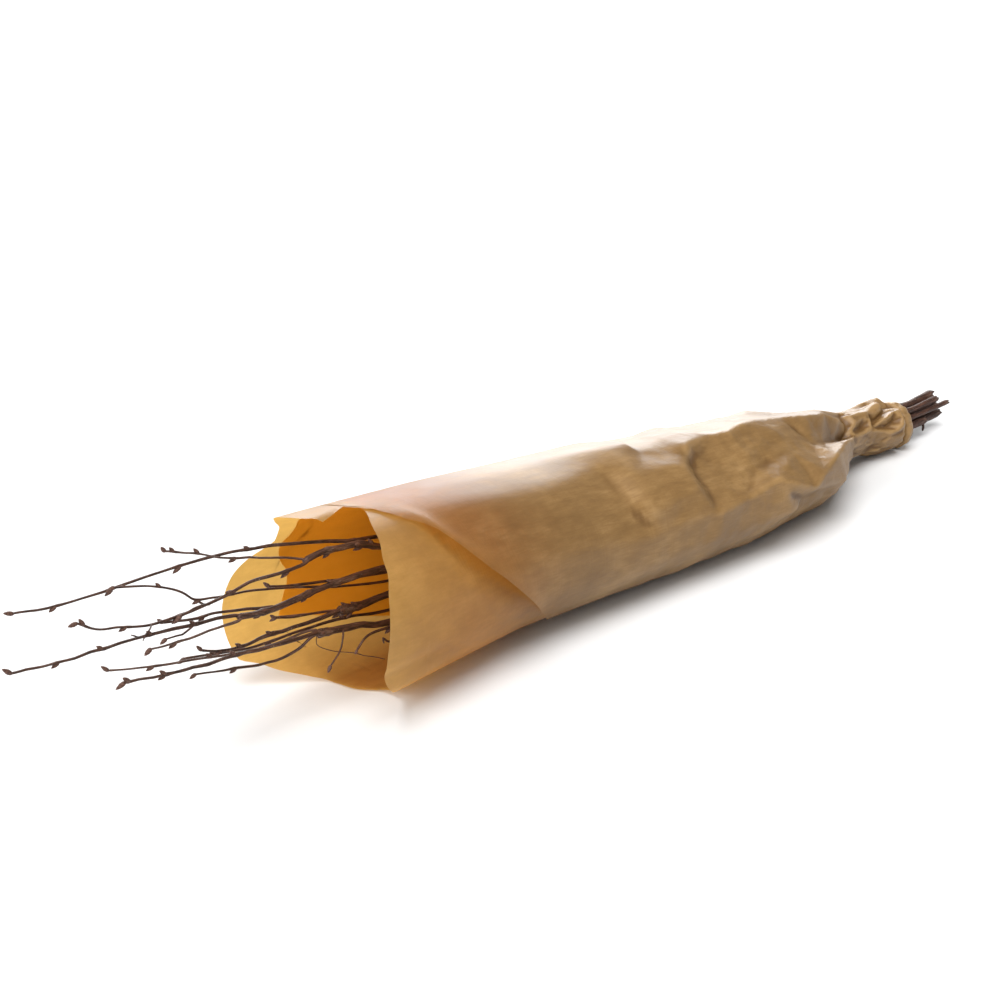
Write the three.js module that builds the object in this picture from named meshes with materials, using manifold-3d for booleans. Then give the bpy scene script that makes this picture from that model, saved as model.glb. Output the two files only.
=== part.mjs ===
// A bundle of bare birch twigs lying on its side, rolled in a sleeve of kraft paper.
// Millimetres, +Z up. The tips point to -X and the cut butts to +X. The near side of
// the sleeve, where the free edge of the paper shows, faces -Y.
import * as THREE from 'three';
import { mergeVertices } from 'three/addons/utils/BufferGeometryUtils.js';
import Module from 'manifold-3d';

const wasm = await Module();
wasm.setup();

// Driving dimensions of the sleeve. Its paper is drawn thicker than real paper, so
// that each layer is a solid wall.
const PAPER_THICKNESS = 1.0;
const LAYER_STEP = 2.2;
const FLATTENING = 1.5;
const SLEEVE_END = 552;

// Places round the sleeve are turns in degrees along the rolled sheet, from its free
// outer edge inwards: 0 is the near side, 90 the top, 180 the far side, 270 the floor,
// and 360 is the near side again, one layer further in.
const FIRST_TURN = -63;
const LAST_TURN = 567;
const TURN_STEP = 18;
const COLUMNS = (LAST_TURN - FIRST_TURN) / TURN_STEP;
const STEP_IN_FROM = 279;
const STEP_IN_TO = 297;

// The rows of the sheet from the mouth to the collar behind the knot.
const ROWS = [
  -12, -3, 6, 15, 24, 36, 50, 65, 82, 98, 115, 131, 148, 200, 255, 310, 360, 400, 435, 465, 485, 500,
  512, 525, 538, SLEEVE_END,
];

// The sleeve's cross-section along its length: x, half width, half height, centre y.
const SECTIONS = [
  [-64, 67, 60, 13],
  [-40, 66, 59, 14],
  [60, 61, 53, 17],
  [160, 58, 48, 11],
  [260, 57, 44, 0.5],
  [340, 55, 40, -7.5],
  [400, 51, 33.5, -5.5],
  [440, 41, 27.5, 1],
  [465, 31, 23.5, 3],
  [488, 21, 20, 3],
  [500, 18, 19, 3],
  [512, 18.5, 19, 1],
  [530, 19.5, 19, -1],
  [543, 18, 18, -2],
  [SLEEVE_END, 18.5, 18.5, -2],
];

// The free edge runs from the top of the mouth down the near side and under the roll:
// x, turn where the sheet begins.
const FREE_EDGE = [
  [-12, 95],
  [6, 69],
  [24, 45],
  [50, 16],
  [82, -14],
  [115, -50],
  [148, FIRST_TURN],
];

// The mouth's edge is drawn back and forth as the sheet goes round: turn, x.
const MOUTH_EDGE = [
  [95, -12],
  [119, -46],
  [132, -36],
  [144, -24],
  [154, -22],
  [164, -40],
  [176, -55],
  [192, -61],
  [215, -64],
  [234, -43],
  [255, -21],
  [285, -11],
  [320, -36],
  [353, -59],
  [389, -48],
  [429, -24],
  [448, -9],
  [470, -4],
  [505, -18],
  [521, -21],
  [542, -15],
  [LAST_TURN, -24],
];

// How much of the mouth's shape the rows behind it still follow: x, share.
const MOUTH_FADE = [
  [-12, 1],
  [24, 0.48],
  [82, 0.08],
  [115, 0],
];

// Soft pleats where the paper is gathered: x, depth.
const PLEAT_COUNT = 5;
const PLEATS = [
  [400, 0],
  [465, 1.2],
  [500, 0.8],
  [530, 1.4],
  [SLEEVE_END, 0.9],
];

// The gathered stems inside the knot: centre of the cluster at the butts and at the neck.
const NECK_X = 492;
const NECK_CENTRE = [2.5, 17.5];
const BUTT_CENTRE = [-2, 17];

const BARK = { color: 0x4a332b, roughness: 0.75, metalness: 0 };
const PALE_BARK = { color: 0x5d4438, roughness: 0.75, metalness: 0 };
const KRAFT = { color: 0xc69a6b, roughness: 0.9, metalness: 0 };

// A bud is a pointed spindle that leans out from its twig.
const BUD_LENGTH = 6.5;
const BUD_RADIUS = 1.7;
const BUD_FOOT = 1.5;
const BUD_SIDES = 4;
const BUD_LEAN = 32;
const TIP_LEAN = 10;
const TWIG_SIDES = 6;
const STEPS_PER_SPAN = 2;

// Straight-line reading of a table whose rows are [position, value, value, ...].
function read(table, at) {
  const last = table.length - 1;
  if (at <= table[0][0]) return table[0].slice(1);
  if (at >= table[last][0]) return table[last].slice(1);
  const i = table.findIndex((row) => row[0] >= at);
  const [a, b] = [table[i - 1], table[i]];
  const t = (at - a[0]) / (b[0] - a[0]);
  return a.slice(1).map((value, k) => value + (b[k + 1] - value) * t);
}

// The side of a tube from rings of points, each ring with as many columns.
function wrappedGrid(points, columns) {
  const positions = points.flatMap((p) => [p.x, p.y, p.z]);
  const index = [];
  for (let ring = 0; ring < points.length - columns; ring += columns) {
    for (let j = 0; j < columns; j += 1) {
      const a = ring + j;
      const b = ring + ((j + 1) % columns);
      index.push(a, a + columns, b, b, a + columns, b + columns);
    }
  }
  return { positions, index };
}

function geometryOf({ positions, index }) {
  const geometry = new THREE.BufferGeometry();
  geometry.setAttribute('position', new THREE.Float32BufferAttribute(positions, 3));
  geometry.setIndex(index);
  return geometry;
}

function solidOf(geometry) {
  const bare = geometry.clone();
  bare.deleteAttribute('normal');
  bare.deleteAttribute('uv');
  const merged = mergeVertices(bare, 1e-4);
  return new wasm.Manifold(
    new wasm.Mesh({
      numProp: 3,
      vertProperties: merged.attributes.position.array,
      triVerts: Uint32Array.from(merged.index.array),
    }),
  );
}

function geometryOfSolid(solid) {
  const mesh = solid.getMesh();
  return geometryOf({
    positions: Array.from(mesh.vertProperties),
    index: Array.from(mesh.triVerts),
  });
}

// The sleeve: one sheet rolled about one and a half times round the twigs, open at the
// mouth, gathered to a neck and bunched into a knot round the stems.
function sleevePoint(rowX, turn, depth) {
  const [edgeX] = read(MOUTH_EDGE, turn);
  const x = rowX + (edgeX - ROWS[0]) * read(MOUTH_FADE, rowX)[0];
  const [halfWidth, halfHeight, centreY] = read(SECTIONS, x);
  const angle = THREE.MathUtils.degToRad(turn);
  const stepIn = LAYER_STEP * THREE.MathUtils.smoothstep(turn, STEP_IN_FROM, STEP_IN_TO);
  const pleat = read(PLEATS, x)[0] * Math.cos(angle * PLEAT_COUNT);
  const inwards = stepIn + depth - pleat;
  const y = centreY - (halfWidth - inwards) * Math.cos(angle);
  const z = halfHeight - FLATTENING + (halfHeight - inwards) * Math.sin(angle);
  return new THREE.Vector3(x, y, Math.max(z, depth));
}

// Each row starts at the free edge, so its columns before that edge share one point.
function sleeveGeometry() {
  const points = [];
  const kept = [];
  const around = 2 * (COLUMNS + 1);
  ROWS.forEach((rowX, row) => {
    const [start] = read(FREE_EDGE, rowX);
    const first = Math.floor((start - FIRST_TURN) / TURN_STEP);
    for (let k = 0; k < around; k += 1) {
      const outside = k <= COLUMNS;
      const j = Math.max(outside ? k : around - 1 - k, first);
      const turn = Math.max(FIRST_TURN + j * TURN_STEP, start);
      points.push(sleevePoint(rowX, turn, outside ? 0 : PAPER_THICKNESS));
      kept.push(row * around + (outside ? j : around - 1 - j));
    }
  });
  const { positions, index } = wrappedGrid(points, around);
  const lastRow = (ROWS.length - 1) * around;
  for (let j = 0; j < COLUMNS; j += 1) {
    const inner = around - 1 - j;
    index.push(j, j + 1, inner - 1, j, inner - 1, inner);
    index.push(lastRow + j, lastRow + inner - 1, lastRow + j + 1);
    index.push(lastRow + j, lastRow + inner, lastRow + inner - 1);
  }
  const shared = index.map((corner) => kept[corner]);
  const whole = [];
  for (let i = 0; i < shared.length; i += 3) {
    const corners = shared.slice(i, i + 3);
    if (new Set(corners).size === 3) whole.push(...corners);
  }
  return geometryOf({ positions, index: whole });
}

// A limb's spine: points with their direction and their share of its whole length.
function spineOf(route) {
  const knots = route.map(([x, y, z]) => new THREE.Vector3(x, y, z));
  const curve = new THREE.CatmullRomCurve3(knots, false, 'centripetal');
  const steps = (route.length - 1) * STEPS_PER_SPAN;
  const spine = [];
  let run = 0;
  for (let i = 0; i <= steps; i += 1) {
    const centre = curve.getPoint(i / steps);
    if (i > 0) run += centre.distanceTo(spine[i - 1].centre);
    spine.push({ centre, along: curve.getTangent(i / steps), run });
  }
  spine.forEach((point) => {
    point.share = point.run / run;
  });
  return spine;
}

// Radii are spread evenly along the limb.
function radiusAt(radii, share) {
  const table = radii.map((radius, i) => [i / (radii.length - 1), radius]);
  return read(table, share)[0];
}

// A tapering limb along its spine, with flat ends.
function limbSolid(spine, radii) {
  const points = [];
  const out = new THREE.Vector3(0, 0, 1);
  const carry = new THREE.Quaternion();
  spine.forEach(({ centre, along, share }, i) => {
    if (i > 0) out.applyQuaternion(carry.setFromUnitVectors(spine[i - 1].along, along));
    out.addScaledVector(along, -out.dot(along)).normalize();
    const radius = radiusAt(radii, share);
    for (let j = 0; j < TWIG_SIDES; j += 1) {
      const spoke = out.clone().applyAxisAngle(along, (-j / TWIG_SIDES) * Math.PI * 2);
      points.push(centre.clone().addScaledVector(spoke, radius));
    }
  });
  const mesh = wrappedGrid(points, TWIG_SIDES);
  const end = points.length - TWIG_SIDES;
  for (let j = 1; j < TWIG_SIDES - 1; j += 1) {
    mesh.index.push(0, j, j + 1);
    mesh.index.push(end, end + j + 1, end + j);
  }
  return solidOf(geometryOf(mesh));
}

function budSolid(base, axis, size) {
  const length = BUD_LENGTH * size;
  const radius = BUD_RADIUS * Math.sqrt(size);
  const profile = [
    new THREE.Vector2(0, -BUD_FOOT),
    new THREE.Vector2(radius * 0.75, 0),
    new THREE.Vector2(radius, length * 0.35),
    new THREE.Vector2(0, length),
  ];
  const geometry = new THREE.LatheGeometry(profile, BUD_SIDES);
  geometry.applyQuaternion(new THREE.Quaternion().setFromUnitVectors(THREE.Object3D.DEFAULT_UP, axis));
  geometry.translate(base.x, base.y, base.z);
  return solidOf(geometry);
}

// Buds stand on a limb at [x, side, size]. Side is in degrees round the limb: 0 is on
// top, 90 near, 180 below and 270 far. One past the limb's end is its tip bud.
function budOn(spine, radii, [x, side, size = 1]) {
  const found = spine.findIndex(({ centre }) => centre.x <= x);
  const isTip = found < 0;
  const next = spine[isTip ? spine.length - 1 : found];
  const before = spine[isTip ? spine.length - 2 : found - 1];
  const t = isTip ? 1 : (before.centre.x - x) / (before.centre.x - next.centre.x);
  const centre = before.centre.clone().lerp(next.centre, t);
  const along = next.centre.clone().sub(before.centre).normalize();
  const turn = THREE.MathUtils.degToRad(side);
  const out = new THREE.Vector3(0, -Math.sin(turn), Math.cos(turn));
  out.addScaledVector(along, -out.dot(along)).normalize();
  const lean = THREE.MathUtils.degToRad(isTip ? TIP_LEAN : BUD_LEAN);
  const axis = along.clone().multiplyScalar(Math.cos(lean)).addScaledVector(out, Math.sin(lean));
  const lift = isTip ? 0 : radiusAt(radii, next.share) * 0.7;
  return budSolid(centre.addScaledVector(out, lift), axis.normalize(), size);
}

// A node of bark: a limb with its buds, and the thin twiglets that grow from it.
function limbGeometry({ route, radii, buds = [], twiglets = [] }) {
  const spine = spineOf(route);
  let solid = limbSolid(spine, radii);
  buds.forEach((bud) => {
    solid = solid.add(budOn(spine, radii, bud));
  });
  twiglets.forEach((twiglet) => {
    solid = solid.add(solidOf(limbGeometry(twiglet)));
  });
  return geometryOfSolid(solid);
}

// The stretch of a stem that is held in the gathered bundle, from its cut end to the
// neck. Its place is [towards the far side, up] from the middle of the cluster.
function gathered(buttX, [across, up]) {
  return [
    [buttX, BUTT_CENTRE[0] + across, BUTT_CENTRE[1] + up],
    [NECK_X, NECK_CENTRE[0] + across, NECK_CENTRE[1] + up],
  ];
}

const LIMBS = [
  {
    name: 'twig_1',
    route: [
      ...gathered(606, [2, 8.5]),
      [260, 10, 54],
      [18, 20, 85],
      [-9, 20, 90],
      [-51, 22, 101],
      [-93, 25, 109],
      [-139, 30, 112],
      [-188, 30, 114],
      [-226, 30, 117],
      [-251, 30, 122],
    ],
    radii: [3.4, 3.3, 3, 2.6, 2.2, 1.9, 1.7, 1.2, 0.9, 0.7],
    buds: [
      [-8, 140, 1.1], [-90, 20, 0.8], [-136, 170, 1.1], [-184, 180], [-222, 170, 0.9],
      [-252, 0, 1.1],
    ],
  },
  {
    name: 'twig_2_stem',
    route: [
      ...gathered(602, [-5, 7]), [260, 0, 52], [7, 8, 84], [-18, 10, 93], [-46, 10, 97],
      [-61, 10, 96],
    ],
    radii: [2.4, 2.3, 2.1, 1.9, 1.7, 1.8, 1.9],
    buds: [[-12, 190, 1.1], [-40, 180, 0.9]],
  },
  {
    name: 'twig_2_leader',
    route: [
      [-61.6, 8, 95.6],
      [-77, 7, 96],
      [-102, 8, 98],
      [-124, 10, 95],
      [-154, 6, 97],
      [-183, 2, 101],
      [-207, 0, 108],
      [-222, -2, 113],
      [-238, -4, 122],
    ],
    radii: [1.1, 1.2, 1.1, 1.1, 1, 0.9, 0.8, 0.7],
    buds: [
      [-76, 190, 1.1], [-118, 20, 0.8], [-160, 170, 1.1], [-200, 185, 0.9], [-232, 10],
      [-238, 180, 1.1],
    ],
  },
  {
    name: 'twig_2_side',
    route: [
      [-61.6, 12.4, 97], [-84, 12, 105], [-107, 8, 113], [-129, 5, 121], [-144, 3, 128],
      [-177, -4, 142],
    ],
    radii: [0.8, 0.8, 0.8, 0.7, 0.7],
    buds: [[-116, 190, 0.9], [-148, 0, 0.9], [-168, 0, 0.8], [-177, 20, 0.9]],
  },
  {
    name: 'twig_3_stem',
    route: [
      ...gathered(609, [0, 0]),
      [260, 3, 42],
      [7, 10, 71],
      [-26, 10, 74],
      [-54, 9, 76],
      [-89, 7, 77],
      [-118, 5, 82.5],
    ],
    radii: [3.3, 3.2, 3, 2.7, 2.4, 2.2, 2, 1.8, 1.9],
    buds: [[-38, 0], [-60, 180, 0.9], [-98, 200, 0.9]],
    twiglets: [
      {
        route: [[-88, 8, 78], [-123, 15, 84], [-145, 15, 87], [-166, 13, 93]],
        radii: [0.9, 0.8, 0.7],
        buds: [[-134, 180, 0.8], [-166, 0, 0.9]],
      },
    ],
  },
  {
    name: 'twig_3_leader',
    route: [
      [-118.6, 6.4, 83.4], [-155, 3, 90.5], [-192, -1, 98], [-224, -5, 103], [-259, -8, 108],
      [-286, -10, 113],
    ],
    radii: [1.3, 1.2, 1, 0.9, 0.8],
    buds: [[-150, 0, 0.8], [-186, 10, 0.8], [-222, 0, 0.8], [-254, 185, 0.9], [-286, 0, 1.2]],
    twiglets: [
      {
        route: [[-154, 2, 90], [-166, -3, 91], [-181, -6, 94]],
        radii: [0.7, 0.6],
        buds: [[-181, 180, 0.9]],
      },
    ],
  },
  {
    name: 'twig_3_side',
    route: [[-118.6, 3.4, 81.2], [-134, 0, 84], [-162, -7, 89], [-178, -10, 92], [-199, -14, 97]],
    radii: [1, 0.9, 0.8, 0.7],
    buds: [[-176, 190, 1], [-199, 160, 1.1]],
  },
  {
    name: 'twig_4',
    route: [
      ...gathered(598, [7, 4.5]), [260, 16, 42], [29, 30, 56], [-20, 30, 66], [-44, 30, 71],
      [-70, 30, 78],
    ],
    radii: [2.1, 2, 1.7, 1.4, 1, 0.8],
    buds: [[-70, 0]],
  },
  {
    name: 'twig_5',
    route: [
      ...gathered(596, [8, -2]),
      [260, 14, 36],
      [23, 25, 53],
      [-25, 25, 65],
      [-82, 24, 82],
      [-122, 20, 91],
      [-135, 20, 94],
      [-144, 20, 101],
      [-163, 20, 111],
      [-192, 20, 120],
    ],
    radii: [2.2, 2.1, 1.8, 1.5, 1.2, 1, 0.8, 0.7],
    buds: [[-104, 0, 0.9], [-132, 180, 0.9], [-160, 0, 0.7], [-192, 180]],
    twiglets: [{ route: [[-134, 20, 94], [-126, 24, 88], [-117, 28, 83]], radii: [0.7, 0.6] }],
  },
  {
    name: 'twig_6_stem',
    route: [...gathered(611, [-2, -8.5]), [260, 9, 31], [14, 16, 50], [-18, 14, 52], [-32, 13, 55]],
    radii: [2.9, 2.8, 2.5, 2.2, 2, 2.2],
    buds: [[-22, 0, 1.1], [-20, 150, 0.9]],
  },
  {
    name: 'twig_6_leader',
    route: [
      [-32.6, 11.8, 55.6], [-57, 13, 56], [-83, 14, 58], [-105, 13, 59], [-126, 12, 63],
      [-141, 11, 69],
    ],
    radii: [1.5, 1.4, 1.3, 1, 0.8],
    buds: [[-84, 0, 0.8], [-108, 0, 0.9], [-124, 180, 1.1], [-141, 0, 0.9]],
  },
  {
    name: 'twig_6_side',
    route: [[-32.6, 15.4, 55], [-47, 21, 56], [-69, 26, 60]],
    radii: [0.9, 0.8, 0.7],
    buds: [[-69, 180, 0.9]],
  },
  {
    name: 'twig_7',
    route: [
      ...gathered(604, [5, -7]),
      [260, 16, 25],
      [26, 26, 33],
      [-14, 24, 42],
      [-48, 22, 47],
      [-75, 22, 49],
      [-97, 22, 51],
      [-120, 21, 57],
      [-147, 18, 64],
    ],
    radii: [2.3, 2.2, 1.9, 1.6, 1.3, 1.1, 0.8],
    buds: [[-14, 0, 0.9], [-76, 190, 0.9], [-122, 0, 0.9], [-147, 180]],
  },
  {
    name: 'twig_8_stem',
    route: [...gathered(584, [-7, -4.5]), [260, 0, 25], [7, 8, 37], [-27, 6, 46], [-60, 4, 53]],
    radii: [2.6, 2.5, 2.2, 2, 1.8, 2.1],
    buds: [[-50, 200, 0.8]],
    twiglets: [
      { route: [[-36, 5, 48], [-40, 1, 43], [-44, -4, 33]], radii: [0.7, 0.6], buds: [[-44, 180]] },
    ],
  },
  {
    name: 'twig_8_leader',
    route: [
      [-60.6, 3, 54], [-80, 1, 57], [-106, -1, 61], [-135, -3, 67], [-162, -6, 71], [-188, -9, 77],
      [-215, -11, 83],
    ],
    radii: [1.5, 1.5, 1.3, 1.2, 1, 0.9],
    buds: [[-128, 0, 0.9], [-184, 10], [-184, 190, 0.9], [-212, 20, 1.1], [-215, 180, 1.2]],
  },
  {
    name: 'twig_8_upper',
    route: [
      [-60.6, 6.8, 54.4], [-80, 6, 55.5], [-101, 5, 58], [-128, 6, 63], [-145, 6, 67],
      [-181, 8, 74], [-208, 10, 81],
    ],
    radii: [0.9, 0.9, 0.8, 0.7],
    buds: [[-138, 0, 0.8], [-176, 190, 0.9], [-208, 0]],
  },
  {
    name: 'twig_8_lower',
    route: [[-60.6, 6, 50.6], [-66, 12, 43], [-78, 17, 39], [-114, 16, 47], [-147, 10, 57]],
    radii: [1, 1, 0.9, 0.8, 0.7],
    buds: [[-110, 180, 0.9], [-147, 180, 0.9]],
  },
  {
    name: 'twig_9',
    route: [...gathered(614, [-8, 2]), [260, -5, 28], [0, -2, 40], [-28, -6, 43], [-40, -9, 39]],
    radii: [1.9, 1.8, 1.5, 1.1, 0.7],
    buds: [[-2, 180, 1.1], [-40, 180, 0.8]],
  },
];

// The nodes: the sleeve first, then each stretch of twig between its main forks.
const bundle = new THREE.Group();

const sleeve = new THREE.Mesh(sleeveGeometry(), new THREE.MeshStandardMaterial(KRAFT));
sleeve.name = 'paper_wrap';
bundle.add(sleeve);

LIMBS.forEach((limb) => {
  const look = limb.name.includes('side') || limb.name.includes('upper') ? PALE_BARK : BARK;
  const mesh = new THREE.Mesh(limbGeometry(limb), new THREE.MeshStandardMaterial(look));
  mesh.name = limb.name;
  bundle.add(mesh);
});

// The origin is on the floor under the middle of the bundle's box.
const box = new THREE.Box3().setFromObject(bundle);
const middle = box.getCenter(new THREE.Vector3());
bundle.position.set(-middle.x, -middle.y, -box.min.z);

export default bundle;
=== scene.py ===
import math
import bpy
import numpy as np
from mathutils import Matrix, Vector
from mathutils.geometry import delaunay_2d_cdt


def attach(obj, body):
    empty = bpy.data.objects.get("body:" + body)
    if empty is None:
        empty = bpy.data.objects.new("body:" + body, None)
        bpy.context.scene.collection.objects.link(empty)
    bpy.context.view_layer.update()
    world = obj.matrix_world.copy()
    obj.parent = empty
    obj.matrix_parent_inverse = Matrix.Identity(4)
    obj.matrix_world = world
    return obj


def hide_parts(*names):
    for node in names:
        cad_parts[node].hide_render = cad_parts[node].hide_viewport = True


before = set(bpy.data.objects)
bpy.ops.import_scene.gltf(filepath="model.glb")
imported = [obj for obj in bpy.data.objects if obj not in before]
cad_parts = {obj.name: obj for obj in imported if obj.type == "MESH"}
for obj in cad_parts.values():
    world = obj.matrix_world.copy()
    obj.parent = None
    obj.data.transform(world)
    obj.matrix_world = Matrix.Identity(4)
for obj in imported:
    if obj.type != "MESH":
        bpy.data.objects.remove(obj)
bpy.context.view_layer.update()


# The kraft paper sleeve: one sheet of brown paper about 0.64 by 0.6 m, rolled by hand
# one and a half times round the twigs. It stays open at the tips and is wrung into a
# knot round the stems; its free edge crosses the near side and passes under the roll.

# Sizes are drawn in millimetres from the mouth's top, and the frame's origin is here.
DRAWN_MIDDLE = np.array([161.22966, 9.67288, 0.0])

# Cross-section along the sleeve: x, half width, half height, middle across.
SLEEVE_SECTIONS = np.array([
    [-64, 67, 60, 13], [-40, 66, 59, 14], [60, 61, 53, 17], [160, 58, 48, 11],
    [260, 57, 44, 0.5], [340, 55, 40, -7.5], [400, 51, 33.5, -5.5], [440, 42, 28, 1],
    [452, 38, 26.5, 2], [462, 30, 24, 3], [474, 22.5, 21.5, 3], [488, 19.5, 20, 3],
    [500, 18, 19, 3], [512, 18.5, 19, 1], [530, 19.5, 19, -1], [543, 18, 18, -2],
    [552, 18, 18, -2],
])
# The roll is drawn this far below the floor, which then presses it flat.
FLATTENED_BELOW = 1.5

# Turns are degrees round the roll from the free outer edge inwards: 0 is the near side,
# 90 the top, 180 the far side, 270 the floor and 360 the near side one layer in.
LAST_TURN = np.array([[-12, 567], [10, 572], [60, 592], [200, 580], [543, 567]])
MOUTH_ROW = -12
COLLAR_ROW = 546

# Where the free edge starts each row: x, turn.
FREE_EDGE = np.array([
    [-12, 87.5], [0, 91.5], [11.9, 96.5], [12.7, 80], [14.3, 77], [18.3, 66.5],
    [22.5, 61], [27, 55], [31, 47], [35.6, 39], [41.2, 30.5], [47.8, 22], [57, 12.5],
    [67, 2], [80.5, -12], [86, -18], [115, -50], [148, -63],
])

# The mouth's edge, drawn back and forth as the sheet goes round: turn, x.
MOUTH_EDGE = np.array([
    [84, -40], [89.5, -45], [96, -52.5], [104.5, -54.5], [115, -51], [132, -36],
    [144, -24], [154, -22], [164, -41], [172, -51.5], [182, -58], [192, -61.5],
    [210, -63.5], [219, -63], [227, -50.5], [234, -43], [245, -29], [255, -20.5],
    [270, -19], [285, -11], [300, -14], [320, -38], [337, -55], [353, -59.5], [369, -56],
    [388, -48.5], [400, -40.5], [408, -37], [418, -29.5], [430, -22.5], [448, -9],
    [470, -4], [490, -12], [497, -13.5], [505, -11], [512, -12.5], [516, -16], [521, -17],
    [532, -14], [541, -9], [547, -9.5], [552, -12.5], [558, -16.5], [567, -23],
])
# How much of the mouth's outline each row behind it still follows.
MOUTH_FADE = np.array([[-12, 1], [24, 0.48], [82, 0.08], [115, 0]])


def smooth_reading(table, at):
    """Each column of a table, read along its first column on a curve with no overshoot."""
    places = table[:, 0].astype(float)
    spans = np.diff(places)
    at = np.clip(at, places[0], places[-1])
    span = np.clip(np.searchsorted(places, at) - 1, 0, len(spans) - 1)
    share = (at - places[span]) / spans[span]
    columns = []
    for values in table[:, 1:].T.astype(float):
        rises = np.diff(values) / spans
        slopes = np.concatenate([rises[:1], np.zeros(len(rises) - 1), rises[-1:]])
        for i in range(1, len(rises)):
            if rises[i - 1] * rises[i] > 0:
                before = 2 * spans[i] + spans[i - 1]
                after = spans[i] + 2 * spans[i - 1]
                slopes[i] = (before + after) / (before / rises[i - 1] + after / rises[i])
        columns.append(
            (1 + 2 * share) * (1 - share) ** 2 * values[span]
            + share * (1 - share) ** 2 * spans[span] * slopes[span]
            + share**2 * (3 - 2 * share) * values[span + 1]
            + share**2 * (share - 1) * spans[span] * slopes[span + 1]
        )
    return columns


def straight_reading(table, at):
    return np.interp(at, table[:, 0], table[:, 1])


def eased(value, low, high):
    """From 0 to 1, softly, as a value goes from low to high."""
    share = np.clip((value - low) / (high - low), 0, 1)
    return share * share * (3 - 2 * share)


def hump(value, middle, width):
    """1 at the middle, and falling softly to 0 on both sides."""
    return np.exp(-(((value - middle) / width) ** 2))


def smooth_sleeve(x, angle):
    """The roll before it is creased."""
    half_width, half_height, middle = smooth_reading(SLEEVE_SECTIONS, x)
    round_it = np.radians(angle)
    across = middle - half_width * np.cos(round_it)
    up = half_height - FLATTENED_BELOW + half_height * np.sin(round_it)
    return np.stack([x, across, up], axis=-1)


def outward(x, angle):
    """The direction straight out of the roll, across its length."""
    half_width, half_height, _ = smooth_reading(SLEEVE_SECTIONS, x)
    round_it = np.radians(angle)
    out = np.stack([np.zeros_like(round_it), -np.cos(round_it) / half_width,
                    np.sin(round_it) / half_height], axis=-1)
    return out / np.linalg.norm(out, axis=-1, keepdims=True)


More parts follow.
